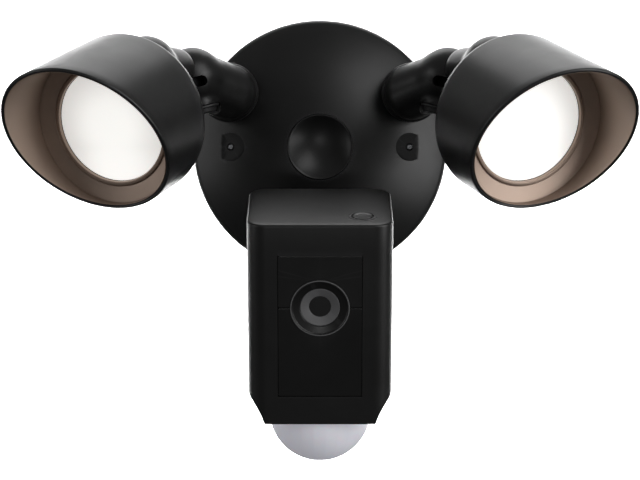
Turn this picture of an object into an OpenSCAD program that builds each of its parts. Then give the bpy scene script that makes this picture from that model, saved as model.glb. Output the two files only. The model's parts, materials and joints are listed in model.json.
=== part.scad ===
// Floodlight security camera: a round wall canopy carries two swivelling lights and a
// camera on a ball joint. Millimetres, +Z up, the wall is the plane y = 0 and the front
// faces -Y. The origin is the centre of the canopy on the wall.

/* [Canopy] */
// Radius of the round wall canopy
canopy_r = 65.4; // [63:0.1:68]
// Height of the canopy's crown above the wall
canopy_h = 31; // [29:0.5:33]
// Height of the canopy's straight edge above the wall
canopy_edge_h = 10; // [9:0.5:12]
// Wall thickness of the canopy
canopy_wall = 2.4; // [2:0.1:3]

/* [Light arms] */
// Distance of each arm's swivel axis from the middle, sideways
arm_x = 46.4; // [45:0.1:48]
// Height of each arm's swivel axis above the middle
arm_z = 27.6; // [26:0.1:29]
// Radius of the arm's round base flange
arm_base_r = 15; // [14.8:0.1:15.4]
// Radius of the arm's fat tube
arm_tube_r = 13.9; // [13.6:0.1:14.0]
// Radius of the knuckle ball at the arm's end
ball_r = 14.3; // [14.2:0.1:14.6]
// Distance of the knuckle's centre from the middle, sideways
knuckle_x = 63.4; // [63:0.1:64]
// Distance of the knuckle's centre from the wall
knuckle_y = 50; // [49:0.5:51]
// Height of the knuckle's centre above the middle
knuckle_z = 34.6; // [34:0.1:35]
// Sideways lean of the knuckle's hinge pin from upright, in degrees
knuckle_lean = 15; // [12:0.5:18]

/* [Light heads] */
// Outer radius of the light's can
can_r = 39.3; // [39:0.1:40]
// Wall thickness of the can
can_wall = 1.9; // [1.6:0.1:2.2]
// How far the light is turned outwards, in degrees
head_yaw = 25.6; // [25:0.1:26]
// How far the light is tipped downwards, in degrees
head_pitch = 17.4; // [17:0.1:18]
// Slant of the can's open rim, in degrees
rim_slant = 27; // [25:0.5:29]
// Distance from the diffuser to the middle of the slanted rim
rim_mid = 24; // [23:0.5:25]
// Radius of the white diffuser that shows
diffuser_r = 27.4; // [27:0.1:28]

/* [Camera] */
// Width of the camera's body
camera_w = 69; // [68:0.5:70]
// Depth of the camera's body from front to back
camera_d = 55.4; // [55:0.1:56]
// Length of the camera's body where its sides are straight
camera_straight = 88; // [87.5:0.5:89]
// Whole length of the camera's body down to the sensor dome
camera_len = 101.5; // [101:0.5:102]
// Forward lean of the camera's body, in degrees
camera_lean = 17.1; // [16.5:0.1:17.5]
// Wall thickness of the camera's body
camera_wall = 2.4; // [2.2:0.1:2.6]
// Radius of the motion sensor's dome
dome_r = 25.2; // [25:0.1:25.4]
// Outer radius of the ring around the lens
lens_ring_r = 14.1; // [13.8:0.1:14.4]

/* [Hidden] */

$fn = 96;
gap = 0.1;        // clearance between fixed neighbours
run_gap = 0.05;   // radial running clearance of pins and spigots
swing_gap = 0.35; // clearance between round faces that move past each other
far = 200;        // long enough to cut right through

// canopy: a sphere cap on a short straight edge
edge_rise = canopy_h - canopy_edge_h;
crown_r = (canopy_r * canopy_r + edge_rise * edge_rise) / (2 * edge_rise);
gasket_t = 2;
bracket_z0 = 2.2;
bracket_t = 2;
bracket_r = 52;
wall_screw_pitch = 88.9;
wall_screw_r = 2.3;
wire_hole_r = 17;
pocket_screw_x = 45.8;
pocket_out = 4.4;
pocket_round_r = 7.2;
pocket_floor = 18;
cap_r = 16.7;
cap_dish_sphere = 34;
boss_h = 24;
boss_plate = 4;
boss_root = 4;          // how far the arm's boss reaches below the canopy's edge height
pocket_skin = 2;
pocket_floor_t = 3;
cap_pocket = 7;         // depth of the middle recess below the crown
cap_floor_t = 2;
cap_skin = 2.5;
cap_h = 6.4;
cap_dish_low = 1.6;     // lowest point of the dish above the recess floor
screw_post_r = 4.5;
screw_clear_r = 2.2;
canopy_screw_r = 1.65;
screw_thread_r = 1.7;
canopy_head_r = 2.9;
canopy_head_h = 1.9;
hex_key_r = 1.1;
hex_key_z = 0.9;
gasket_lip = 0.4;
gasket_w = 6.6;
nut_room = 0.6;
nut_window = 2;

// electrical parts behind the canopy
board_t = 1.6;
driver_at = [-17, 21, 6];
driver_w = 34;
driver_d = 18;
coil_at = [-13, 24.5, 7.6];
coil_size = [10, 9, 9];
capacitor_x = 7;
capacitor_y = [25.6, 34.4];
capacitor_r = 4;
capacitor_h = 9;
terminal_at = [-36, -22, 6];
terminal_size = [15, 12, 9];
terminal_holes = [3, 7.5, 12];
terminal_hole_r = 1.4;
gland_r = 20;
gland_bore_r = 15.5;
gland_h = 3;
spigot_r = 9;
arm_nut_r = 12;

// ball joint behind the camera
cam_ball_y = -40;
cam_ball_z = -46;
cam_ball_r = 9;
liner_in_r = cam_ball_r + swing_gap;
liner_out_r = 11.0;
socket_r = 14;
socket_mouth = 2.5;
collar_r = 16.6;
collar_back = 8.5;      // the collar's back face behind the ball's centre
collar_h = 10.5;
grip_step = 15;
grip_r = 1.3;
grip_out = 0.7;
socket_root = 8;
socket_wire_r = 3.5;
liner_back = 5;
liner_h = 5.4;
stud_r = 5.4;
stud_foot_r = 8;
stud_foot_t = 1.4;
stud_wire_r = 2.5;
stud_sunk = 3;          // how far the stud reaches into the camera's back

// arm and knuckle
flange_t = 5.5;
slot_top = -0.4;
slot_bottom = -6.4;
tongue_half_w = 5.5;
slot_reach = 7;
cheek_r = 8.4;
cheek_bottom = -15.5;
hinge_pin_r = 3;
arm_wire_r = 4;
flange_seat = 1;        // room for the seal under the flange
arm_root = 4;           // straight part of the arm above its flange
tube_overlap = 0.6;
spigot_up = 1.5;
spigot_l = 12;
spot_face = 0.8;        // room round the grip nut
tongue_room = 0.8;
tongue_gap = 0.3;
strip_inset = 0.6;      // the tongue's strip is narrower than its round end
seal_t = 0.9;
seal_inset = 0.3;
seal_room = 0.4;
arm_nut_t = 4;
arm_nut_gap = 0.3;
knob_t = 2.4;
knob_lip_t = 1.1;
knob_z = 3.6;
knob_inset = 1.2;
knob_lip = 0.3;

// light heads, measured forward from the diffuser
head_x = 96.8;
head_y = 118;
head_z = 10;
rim_turn = 7;
can_back = -17;
back_edge_r = 6.5;
lump_y = 17.2;
lump_z = -38.9;
lump_r = 15;
neck_y = 9.2;
neck_z = -62.5;
neck_r = 11;
neck_end = 0.4;         // the neck's round end is a touch larger than the neck
back_dome_r = 62;
back_dome_z = 29;
back_room = 4.5;        // depth of the space in the back for the heat spreader
spreader_z = -19.4;
spreader_r = 29;
spreader_t = 4;
fin_step = 30;
fin_l = 7.5;
fin_t = 2;
fin_h = 11.4;
fin_sunk = 0.5;
led_board_r = 24;
led_board_z = -15.2;
led_circle_r = 12;
led_step = 45;
led_w = 3.4;
led_h = 0.9;
front_back_z = -3.5;    // back face of the diffuser and of the funnel ring
funnel_high = 1.6;
seal_lip_w = 1.8;
seal_lip_h = 2;
diffuser_sphere = 300;
diffuser_bulge = 0.2;

// camera body
corner_r = 9;
front_y = -111.3;
top_z = -36.6;
panel_w = 40;
panel_top = 15.4;
panel_split = 41.5;
panel_bottom = 86.8;
panel_t = 2.2;
lens_z = -41.5;
dome_y = 27.5;
dome_z = -105.6;
// the foot's side in half widths and depths below the top, from its end upwards
foot_side = [[26.6, camera_len], [28.4, 96.8], [29.9, 94], [31.8, 91.1], [camera_w / 2, camera_straight]];
button_x = 20.1;
button_y = 13.3;
button_r = 4.9;
surround_r = 6.6;
surround_h = 4.15;
surround_floor = 2.5;
button_top_h = 1.5;
button_proud = 0.35;
button_stem_r = 2;
button_stem_l = 4;
panel_z = 0.25;         // how far the front panels sit below the body's front
back_screw_r = 1.5;
back_screw_l = 8;
back_head_r = 2.8;
back_head_h = 1.2;
lens_proud = 0.2;
lens_ring_l = 4.2;
lens_bore_r = 9.4;
lens_dish_r = 12.4;
lens_dish_l = 2.6;
barrel_y = 1.4;
barrel_l = 18;
barrel_mouth_r = 7.6;
barrel_bore_r = 5;
glass_y = 5.5;
glass_l = 7;
glass_sphere = 9.6;
camera_board_y = 19.6;
camera_board_w = 26;
main_board_at = [-26, 38, -80];
main_board_w = 52;
main_board_h = 66;
processor_at = [-9, 34.5, -60];
processor_size = [18, 3.5, 18];
radio_at = [12, 35.5, -36];
radio_size = [11, 2.5, 11];
speaker_at = [0, 4, -68];
speaker_r = 14;
speaker_rim = 3;
magnet_r = 9;
magnet_l = 6;
dome_wall = 1.2;
dome_band = 5;
dome_ring_w = 4;
dome_ring_t = 2;
sensor_can_r = 4.6;
sensor_can_h = 4;
sensor_board_r = 19;
sensor_z = 2;
plug_w = 4;
plug_h = 8;
back_plate_w = camera_w - 2 * camera_wall - 0.3;
back_plate_top = 4;
back_plate_bottom = camera_straight - 5;
back_screw_x = back_plate_w / 2 - 6;
back_screw_z = [10, camera_straight - 11];
// the ball's centre in the camera's own frame
ball_pos_y = (cam_ball_y - front_y) * cos(camera_lean) + (cam_ball_z - top_z) * sin(camera_lean);
ball_pos_z = -(cam_ball_y - front_y) * sin(camera_lean) + (cam_ball_z - top_z) * cos(camera_lean);

black = [0.06, 0.06, 0.065];
dark_grey = [0.18, 0.18, 0.19];
bronze = [0.45, 0.38, 0.34];
steel = [0.7, 0.7, 0.72];
board_green = [0.1, 0.3, 0.18];
white = [0.95, 0.95, 0.93];
smoke = [0.62, 0.61, 0.66];

// turns a shape built up +Z so that it stands out from the wall towards -Y
module from_wall() {
    rotate([90, 0, 0]) children();
}

// mirrors a left-hand piece for the right side
module side(s) {
    if (s > 0) mirror([1, 0, 0]) children();
    else children();
}

// local frame of the left light: +Z out of the can, +Y its top
module head_frame() {
    translate([-head_x, -head_y, head_z]) rotate([0, 0, -head_yaw]) rotate([90 + head_pitch, 0, 0]) children();
}

// local frame of the left knuckle: +Z along the hinge pin
module knuckle_frame() {
    translate([-knuckle_x, -knuckle_y, knuckle_z]) rotate([0, -knuckle_lean, 0]) children();
}

// local frame of the camera: origin at the middle of the front's top edge, +Y to the back
module camera_frame() {
    translate([0, front_y, top_z]) rotate([camera_lean, 0, 0]) children();
}

module ring(r_out, r_in, h) {
    difference() {
        cylinder(r = r_out, h = h);
        translate([0, 0, -1]) cylinder(r = r_in, h = h + 2);
    }
}

// straight tube or rod from one point to another
module rod(a, b, r) {
    d = b - a;
    l = norm(d);
    translate(a) rotate([0, acos(d[2] / l), atan2(d[1], d[0])]) cylinder(r = r, h = l);
}

// solid canopy outline, shrunk inwards by a wall thickness
module canopy_solid(inset) {
    intersection() {
        translate([0, 0, canopy_h - crown_r]) sphere(r = crown_r - inset, $fn = 180);
        cylinder(r = canopy_r - inset, h = far, $fn = 180);
    }
}

module pocket_outline(grow) {
    intersection() {
        translate([-pocket_screw_x, 0]) circle(r = pocket_round_r + grow);
        translate([-pocket_screw_x - pocket_out - grow, -far / 2]) square([far, far]);
    }
}

module canopy() {
    color(black) from_wall() difference() {
        union() {
            difference() {
                canopy_solid(0);
                canopy_solid(canopy_wall);
            }
            intersection() {
                union() {
                    for (s = [-1, 1]) side(s) {
                        translate([0, 0, pocket_floor - pocket_floor_t]) linear_extrude(far) pocket_outline(pocket_skin);
                        translate([-pocket_screw_x, 0, bracket_z0 + bracket_t + gap])
                            cylinder(r = screw_post_r, h = pocket_floor - bracket_z0 - bracket_t - gap);
                    }
                    translate([0, 0, canopy_h - cap_pocket - cap_floor_t]) cylinder(r = cap_r + cap_skin, h = far);
                }
                canopy_solid(0.01);
            }
            for (s = [-1, 1]) side(s) translate([-arm_x, arm_z, canopy_edge_h - boss_root])
                cylinder(r = arm_base_r, h = boss_h - canopy_edge_h + boss_root);
        }
        translate([0, 0, -1]) cylinder(r = far, h = gasket_t + 1);
        translate([0, 0, canopy_h - cap_pocket]) cylinder(r = cap_r + gap, h = far);
        for (s = [-1, 1]) side(s) {
            translate([0, 0, pocket_floor]) linear_extrude(far) pocket_outline(0);
            translate([-pocket_screw_x, 0, 0]) cylinder(r = screw_clear_r, h = far);
            translate([-arm_x, arm_z, 0]) cylinder(r = spigot_r + run_gap, h = far);
            translate([-arm_x, arm_z, 0]) cylinder(r = arm_nut_r + nut_room, h = boss_h - boss_plate);
        }
        translate([0, cam_ball_z, 0]) cylinder(r = socket_r + run_gap, h = far);
    }
}

module wall_gasket() {
    color(dark_grey) from_wall() ring(canopy_r - gasket_lip, canopy_r - gasket_lip - gasket_w, gasket_t);
}

module mounting_bracket() {
    color(steel) from_wall() translate([0, 0, bracket_z0]) difference() {
        cylinder(r = bracket_r, h = bracket_t);
        translate([0, 0, -1]) cylinder(r = wire_hole_r, h = bracket_t + 2);
        for (s = [-1, 1]) {
            translate([0, s * wall_screw_pitch / 2, -1]) cylinder(r = wall_screw_r, h = bracket_t + 2);
            translate([s * pocket_screw_x, 0, -1]) cylinder(r = screw_thread_r, h = bracket_t + 2);
            translate([s * arm_x, arm_z, -1]) cylinder(r = arm_nut_r + nut_window, h = bracket_t + 2);
        }
    }
}

module canopy_screws() {
    color(steel) from_wall() for (s = [-1, 1]) translate([s * pocket_screw_x, 0, 0]) difference() {
        union() {
            translate([0, 0, bracket_z0]) cylinder(r = canopy_screw_r, h = pocket_floor - bracket_z0 + 1);
            translate([0, 0, pocket_floor + 0.02]) cylinder(r = canopy_head_r, h = canopy_head_h);
        }
        translate([0, 0, pocket_floor + hex_key_z]) cylinder(r = hex_key_r, h = canopy_head_h + 1, $fn = 6);
    }
}

module centre_cap() {
    color(black) from_wall() translate([0, 0, canopy_h - cap_pocket]) difference() {
        cylinder(r = cap_r, h = cap_h);
        translate([0, 0, cap_dish_sphere + cap_dish_low]) sphere(r = cap_dish_sphere, $fn = 120);
    }
}

module led_driver() {
    color(board_green) from_wall() {
        translate(driver_at) cube([driver_w, driver_d, board_t]);
        translate(coil_at) cube(coil_size);
        for (y = capacitor_y) translate([capacitor_x, y, driver_at[2] + board_t])
            cylinder(r = capacitor_r, h = capacitor_h);
    }
}

module terminal_block() {
    color(white) from_wall() translate(terminal_at) difference() {
        cube(terminal_size);
        for (x = terminal_holes) translate([x, terminal_size[1] / 2, -1])
            cylinder(r = terminal_hole_r, h = terminal_size[2] + 2);
    }
}

module cable_gland() {
    color(dark_grey) from_wall() translate([0, 0, bracket_z0 + bracket_t + gap]) ring(gland_r, gland_bore_r, gland_h);
}

module ball_socket() {
    color(black) from_wall() difference() {
        translate([0, cam_ball_z, socket_root]) cylinder(r = socket_r, h = -cam_ball_y + socket_mouth - socket_root);
        translate([0, cam_ball_z, -cam_ball_y]) sphere(r = liner_out_r + swing_gap, $fn = 120);
        translate([0, cam_ball_z, 0]) cylinder(r = socket_wire_r, h = far);
    }
}

module socket_collar() {
    color(dark_grey) from_wall() translate([0, cam_ball_z, -cam_ball_y - collar_back]) difference() {
        cylinder(r = collar_r, h = collar_h);
        translate([0, 0, -1]) cylinder(r = socket_r + gap, h = collar_h + 2);
        for (a = [0:grip_step:359]) rotate([0, 0, a]) translate([collar_r + grip_out, 0, -1])
            cylinder(r = grip_r, h = collar_h + 2);
    }
}

// left-hand pieces, mirrored for the right

module arm(s) {
    swivel = [-arm_x, -boss_h, arm_z];
    knuckle = [-knuckle_x, -knuckle_y, knuckle_z];
    root = swivel + [0, -flange_t - arm_root, 0];
    color(black) side(s) difference() {
        union() {
            translate(swivel) rotate([90, 0, 0]) translate([0, 0, flange_seat])
                cylinder(r = arm_base_r, h = flange_t - flange_seat);
            translate(swivel) rotate([90, 0, 0]) translate([0, 0, flange_t - tube_overlap])
                cylinder(r = arm_tube_r, h = arm_root + tube_overlap - 0.1);
            difference() {
                union() {
                    translate(root) sphere(r = arm_tube_r + 0.05);
                    rod(root, knuckle, arm_tube_r);
                }
                translate(swivel) translate([-far / 2, -flange_seat - 0.1, -far / 2]) cube([far, far, far]);
            }
            translate(knuckle) sphere(r = ball_r);
            knuckle_frame() translate([0, 0, cheek_bottom]) cylinder(r = cheek_r, h = -cheek_bottom);
            translate(swivel) rotate([-90, 0, 0]) translate([0, 0, -spigot_up]) cylinder(r = spigot_r, h = spigot_l);
        }
        knuckle_frame() {
            translate([-30, -30, slot_bottom]) cube([30 + slot_reach, 33, slot_top - slot_bottom]);
            translate([0, 0, slot_bottom]) cylinder(r = tongue_half_w + tongue_room, h = slot_top - slot_bottom);
            translate([0, 0, -30]) cylinder(r = hinge_pin_r + run_gap, h = 41);
            translate([0, 0, cheek_bottom - 20]) cylinder(r = cheek_r + spot_face, h = 20);
        }
        translate(swivel) rotate([-90, 0, 0]) translate([0, 0, -12]) cylinder(r = arm_wire_r, h = 40);
    }
}

module arm_seal(s) {
    color(dark_grey) side(s) translate([-arm_x, -boss_h, arm_z]) rotate([90, 0, 0])
        translate([0, 0, 0.05]) ring(arm_base_r - seal_inset, spigot_r + seal_room, seal_t);
}

module arm_nut(s) {
    color(steel) side(s) translate([-arm_x, -boss_h + boss_plate, arm_z]) rotate([-90, 0, 0])
        translate([0, 0, arm_nut_gap]) difference() {
            cylinder(r = arm_nut_r, h = arm_nut_t, $fn = 6);
            translate([0, 0, -1]) cylinder(r = spigot_r + 0.02, h = arm_nut_t + 2);
        }
}

module knuckle_pin(s) {
    color(steel) side(s) knuckle_frame() translate([0, 0, cheek_bottom - 1])
        cylinder(r = hinge_pin_r, h = -cheek_bottom + 11);
}

module knuckle_nut(s) {
    color(dark_grey) side(s) knuckle_frame() translate([0, 0, cheek_bottom - knob_z]) difference() {
        union() {
            cylinder(r = cheek_r - knob_inset, h = knob_t);
            translate([0, 0, knob_t]) cylinder(r = cheek_r + knob_lip, h = knob_lip_t);
        }
        translate([0, 0, knob_z - 1]) cylinder(r = hinge_pin_r + 0.02, h = knob_z);
    }
}

module rim_cut() {
    translate([0, 0, rim_mid]) rotate([0, 0, rim_turn]) rotate([rim_slant, 0, 0])
        translate([-60, -60, 0]) cube([120, 120, 90]);
}

module hood(s) {
    color(black) side(s) head_frame() difference() {
        translate([0, 0, can_back]) cylinder(r = can_r, h = 64, $fn = 180);
        translate([0, 0, can_back - 1]) cylinder(r = can_r - can_wall, h = 70, $fn = 180);
        rim_cut();
    }
}

// back of the light: a rounded cap with the neck, and the tongue that the knuckle holds
module light_back(s) {
    color(black) side(s) difference() {
        union() {
            head_frame() {
                rotate_extrude($fn = 180) difference() {
                    union() {
                        translate([0, can_back - back_edge_r]) square([can_r - back_edge_r, back_edge_r - gap]);
                        intersection() {
                            translate([can_r - back_edge_r, can_back - gap]) circle(r = back_edge_r - gap);
                            translate([0, can_back - back_edge_r]) square([can_r - gap, back_edge_r - gap]);
                        }
                        intersection() {
                            translate([0, back_dome_z]) circle(r = back_dome_r);
                            translate([0, -60]) square([can_r - back_edge_r + 3, 60 + can_back - back_edge_r + 3]);
                        }
                    }
                    translate([0, can_back - back_room]) square([can_r - back_edge_r + 1, 10]);
                }
                translate([0, lump_y, lump_z]) sphere(r = lump_r);
                rod([0, lump_y, lump_z], [0, neck_y, neck_z], neck_r);
                translate([0, neck_y, neck_z]) sphere(r = neck_r + neck_end);
            }
        }
        translate([-knuckle_x, -knuckle_y, knuckle_z]) sphere(r = ball_r + swing_gap, $fn = 120);
        knuckle_frame() translate([-30, -22, -60]) cube([60, 60, 60 + slot_top + tongue_gap]);
    }
    color(black) side(s) difference() {
        tongue();
        knuckle_frame() translate([0, 0, -20]) cylinder(r = hinge_pin_r + run_gap, h = 40);
    }
}

// flat tongue around the hinge pin, running into the back of the light
module tongue() {
    strip_half_w = tongue_half_w - strip_inset;
    tongue_t = slot_top - slot_bottom - 2 * tongue_gap;
    knuckle_frame() translate([0, 0, slot_bottom + tongue_gap]) linear_extrude(tongue_t) union() {
        circle(r = tongue_half_w);
        rotate(-head_yaw) translate([-strip_half_w, -30]) square([2 * strip_half_w, 30]);
    }
}

module glare_ring(s) {
    color(bronze) side(s) head_frame() rotate_extrude($fn = 180)
        polygon([[diffuser_r + seal_lip_w + gap, front_back_z], [can_r - can_wall - gap, front_back_z],
            [can_r - can_wall - gap, funnel_high], [diffuser_r + seal_lip_w + gap, 0]]);
}

module lens_seal(s) {
    color(white) side(s) head_frame() translate([0, 0, -seal_lip_h / 2])
        ring(diffuser_r + seal_lip_w, diffuser_r, seal_lip_h);
}

module diffuser(s) {
    color(white) side(s) head_frame() intersection() {
        translate([0, 0, front_back_z]) cylinder(r = diffuser_r - gap, h = 10);
        translate([0, 0, -diffuser_sphere]) sphere(r = diffuser_sphere + diffuser_bulge, $fn = 240);
    }
}

module reflector(s) {
    color(white) side(s) head_frame() rotate_extrude()
        polygon([[26.6, -3.7], [27.8, -3.7], [21.2, -13.4], [20, -13.4]]);
}

module led_board(s) {
    color(board_green) side(s) head_frame() {
        translate([0, 0, led_board_z]) cylinder(r = led_board_r, h = board_t);
        for (a = [0:led_step:359]) rotate([0, 0, a])
            translate([led_circle_r - led_w / 2, -led_w / 2, led_board_z + board_t]) cube([led_w, led_w, led_h]);
    }
}

module heat_spreader(s) {
    color(steel) side(s) head_frame() {
        translate([0, 0, spreader_z]) cylinder(r = spreader_r, h = spreader_t);
        for (a = [0:fin_step:359]) rotate([0, 0, a]) translate([spreader_r - fin_sunk, -fin_t / 2, can_back + 0.2])
            cube([fin_l, fin_t, fin_h]);
    }
}

// the camera

module ball_liner() {
    color(white) from_wall() translate([0, cam_ball_z, -cam_ball_y]) intersection() {
        difference() {
            sphere(r = liner_out_r, $fn = 120);
            sphere(r = liner_in_r, $fn = 120);
        }
        translate([0, 0, -liner_back]) cylinder(r = 2 * liner_out_r, h = liner_h);
    }
}

module ball_stud() {
    color(dark_grey) camera_frame() difference() {
        union() {
            translate([0, ball_pos_y, ball_pos_z]) sphere(r = cam_ball_r, $fn = 120);
            translate([0, camera_d - stud_sunk, ball_pos_z]) rotate([-90, 0, 0])
                cylinder(r = stud_r, h = ball_pos_y - camera_d + stud_sunk);
            translate([0, camera_d + gap, ball_pos_z]) rotate([-90, 0, 0]) cylinder(r = stud_foot_r, h = stud_foot_t);
        }
        translate([0, camera_d - stud_sunk - 1, ball_pos_z]) rotate([-90, 0, 0]) cylinder(r = stud_wire_r, h = far);
    }
}

// outline of the camera seen from above, shrunk inwards
module camera_outline(inset) {
    r = corner_r - inset;
    w = camera_w - 2 * inset;
    d = camera_d - 2 * inset;
    translate([0, camera_d / 2]) union() {
        square([w, d - 2 * r], center = true);
        square([w - 2 * r, d], center = true);
        for (x = [-1, 1], y = [-1, 1]) translate([x * (w / 2 - r), y * (d / 2 - r)]) circle(r = r);
    }
}

// solid camera body, shrunk inwards: a rounded prism whose foot is cut back on both sides
module camera_solid(inset) {
    right = [for (p = foot_side) [p[0] - inset, -p[1]]];
    left = [for (i = [len(foot_side) - 1:-1:0]) [inset - foot_side[i][0], -foot_side[i][1]]];
    top = [[camera_w / 2 - inset, 1], [inset - camera_w / 2, 1]];
    intersection() {
        translate([0, 0, inset - camera_len]) linear_extrude(camera_len - 2 * inset) camera_outline(inset);
        translate([0, far / 2, 0]) rotate([90, 0, 0]) linear_extrude(far) polygon(concat(right, top, left));
    }
}

module camera_housing() {
    color(black) camera_frame() difference() {
        camera_solid(0);
        camera_solid(camera_wall);
        translate([-panel_w / 2 - gap, -1, -panel_bottom - gap])
            cube([panel_w + 2 * gap, camera_wall + 2, panel_bottom - panel_top + 2 * gap]);
        translate([-camera_w / 2 + camera_wall, camera_d - camera_wall - 1, -back_plate_bottom])
            cube([camera_w - 2 * camera_wall, 10, back_plate_bottom - back_plate_top]);
        translate([0, dome_y, dome_z]) cylinder(r = dome_r + gap, h = 10);
        translate([button_x, button_y, -10]) cylinder(r = surround_r + gap, h = 20);
    }
}

module camera_back() {
    w = back_plate_w;
    color(black) camera_frame() difference() {
        translate([-w / 2, camera_d - camera_wall, -back_plate_bottom + 0.15])
            cube([w, camera_wall - gap, back_plate_bottom - back_plate_top - 0.3]);
        translate([0, camera_d - 10, ball_pos_z]) rotate([-90, 0, 0]) cylinder(r = stud_r + gap, h = 20);
        for (x = [-1, 1], z = back_screw_z) translate([x * back_screw_x, camera_d - 10, -z])
            rotate([-90, 0, 0]) cylinder(r = back_screw_r + gap, h = 20);
        translate([0, 0, -far / 2]) linear_extrude(far) difference() {
            translate([-far / 2, -far / 2]) square([far, far]);
            camera_outline(0);
        }
    }
}

module camera_screws() {
    color(steel) camera_frame() for (x = [-1, 1], z = back_screw_z)
        translate([x * back_screw_x, camera_d, -z]) rotate([-90, 0, 0]) {
            translate([0, 0, -back_screw_l]) cylinder(r = back_screw_r, h = back_screw_l);
            cylinder(r = back_head_r, h = back_head_h);
        }
}

module panel(z_top, z_bottom) {
    color(black) camera_frame() difference() {
        translate([-panel_w / 2, panel_z, -z_bottom]) cube([panel_w, panel_t, z_bottom - z_top]);
        translate([0, -10, lens_z]) rotate([-90, 0, 0]) cylinder(r = lens_ring_r + gap, h = 40);
    }
}

module window_panel() {
    panel(panel_top, panel_split - 0.1);
}

module speaker_panel() {
    panel(panel_split + 0.1, panel_bottom);
}

module lens_ring() {
    color(dark_grey) camera_frame() translate([0, 0, lens_z]) rotate([-90, 0, 0]) difference() {
        translate([0, 0, -lens_proud]) cylinder(r = lens_ring_r, h = lens_ring_l);
        translate([0, 0, -lens_dish_l / 2]) cylinder(r1 = lens_dish_r, r2 = lens_bore_r, h = lens_dish_l);
        translate([0, 0, -1]) cylinder(r = lens_bore_r, h = 10);
    }
}

module lens_barrel() {
    color(dark_grey) camera_frame() translate([0, barrel_y, lens_z]) rotate([-90, 0, 0]) difference() {
        cylinder(r = lens_bore_r - gap, h = barrel_l);
        translate([0, 0, -1]) cylinder(r1 = barrel_mouth_r, r2 = barrel_bore_r, h = 4);
        translate([0, 0, 2]) cylinder(r = barrel_bore_r, h = barrel_l);
    }
}

module lens_glass() {
    color(dark_grey) camera_frame() translate([0, glass_y, lens_z]) rotate([-90, 0, 0]) intersection() {
        translate([0, 0, -3]) cylinder(r = barrel_bore_r - gap, h = glass_l);
        translate([0, 0, 8]) sphere(r = glass_sphere);
    }
}

module camera_board() {
    color(board_green) camera_frame() translate([-camera_board_w / 2, camera_board_y, lens_z - camera_board_w / 2])
        cube([camera_board_w, board_t, camera_board_w]);
}

module main_board() {
    color(board_green) camera_frame() {
        translate(main_board_at) cube([main_board_w, board_t, main_board_h]);
        translate(processor_at) cube(processor_size);
        translate(radio_at) cube(radio_size);
    }
}

module speaker() {
    color(dark_grey) camera_frame() translate(speaker_at) rotate([-90, 0, 0]) {
        cylinder(r = speaker_r, h = speaker_rim);
        translate([0, 0, speaker_rim]) cylinder(r = magnet_r, h = magnet_l);
    }
}

module sensor_dome() {
    color(smoke) camera_frame() translate([0, dome_y, dome_z]) difference() {
        union() {
            sphere(r = dome_r, $fn = 120);
            cylinder(r = dome_r, h = dome_band);
        }
        sphere(r = dome_r - dome_wall, $fn = 120);
        cylinder(r = dome_r - dome_wall, h = 30);
        translate([0, 0, dome_band]) cylinder(r = dome_r + 5, h = 30);
    }
}

module dome_ring() {
    color(dark_grey) camera_frame() translate([0, dome_y, dome_z + dome_band + gap])
        ring(dome_r, dome_r - dome_ring_w, dome_ring_t);
}

module motion_sensor() {
    color(steel) camera_frame() translate([0, dome_y, dome_z]) {
        translate([0, 0, sensor_z - sensor_can_h]) cylinder(r = sensor_can_r, h = sensor_can_h);
        translate([0, 0, sensor_z]) cylinder(r = sensor_board_r, h = board_t);
        translate([-plug_w / 2, -plug_w / 2, sensor_z + board_t]) cube([plug_w, plug_w, plug_h]);
    }
}

module button_surround() {
    color(dark_grey) camera_frame() translate([button_x, button_y, 0]) difference() {
        translate([0, 0, -4]) cylinder(r = surround_r, h = surround_h);
        translate([0, 0, -surround_floor]) cylinder(r = button_r + 0.15, h = 4);
        translate([0, 0, -8]) cylinder(r = button_stem_r + 0.2, h = 8);
    }
}

module setup_button() {
    color(black) camera_frame() translate([button_x, button_y, 0]) {
        translate([0, 0, -button_top_h]) cylinder(r = button_r, h = button_top_h + button_proud);
        translate([0, 0, -1 - button_stem_l]) cylinder(r = button_stem_r, h = button_stem_l);
    }
}

canopy();
wall_gasket();
mounting_bracket();
canopy_screws();
centre_cap();
led_driver();
terminal_block();
cable_gland();
ball_socket();
socket_collar();
arm(-1);  // arm_left
arm(1);  // arm_right
arm_seal(-1);  // arm_seal_left
arm_seal(1);  // arm_seal_right
arm_nut(-1);  // arm_nut_left
arm_nut(1);  // arm_nut_right
knuckle_pin(-1);  // knuckle_pin_left
knuckle_pin(1);  // knuckle_pin_right
knuckle_nut(-1);  // knuckle_nut_left
knuckle_nut(1);  // knuckle_nut_right
hood(-1);  // hood_left
hood(1);  // hood_right
light_back(-1);  // light_back_left
light_back(1);  // light_back_right
glare_ring(-1);  // glare_ring_left
glare_ring(1);  // glare_ring_right
lens_seal(-1);  // lens_seal_left
lens_seal(1);  // lens_seal_right
diffuser(-1);  // diffuser_left
diffuser(1);  // diffuser_right
reflector(-1);  // reflector_left
reflector(1);  // reflector_right
led_board(-1);  // led_board_left
led_board(1);  // led_board_right
heat_spreader(-1);  // heat_spreader_left
heat_spreader(1);  // heat_spreader_right
ball_liner();
ball_stud();
camera_housing();
camera_back();
camera_screws();
window_panel();
speaker_panel();
lens_ring();
lens_barrel();
lens_glass();
camera_board();
main_board();
speaker();
sensor_dome();
dome_ring();
motion_sensor();
button_surround();
setup_button();
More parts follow.
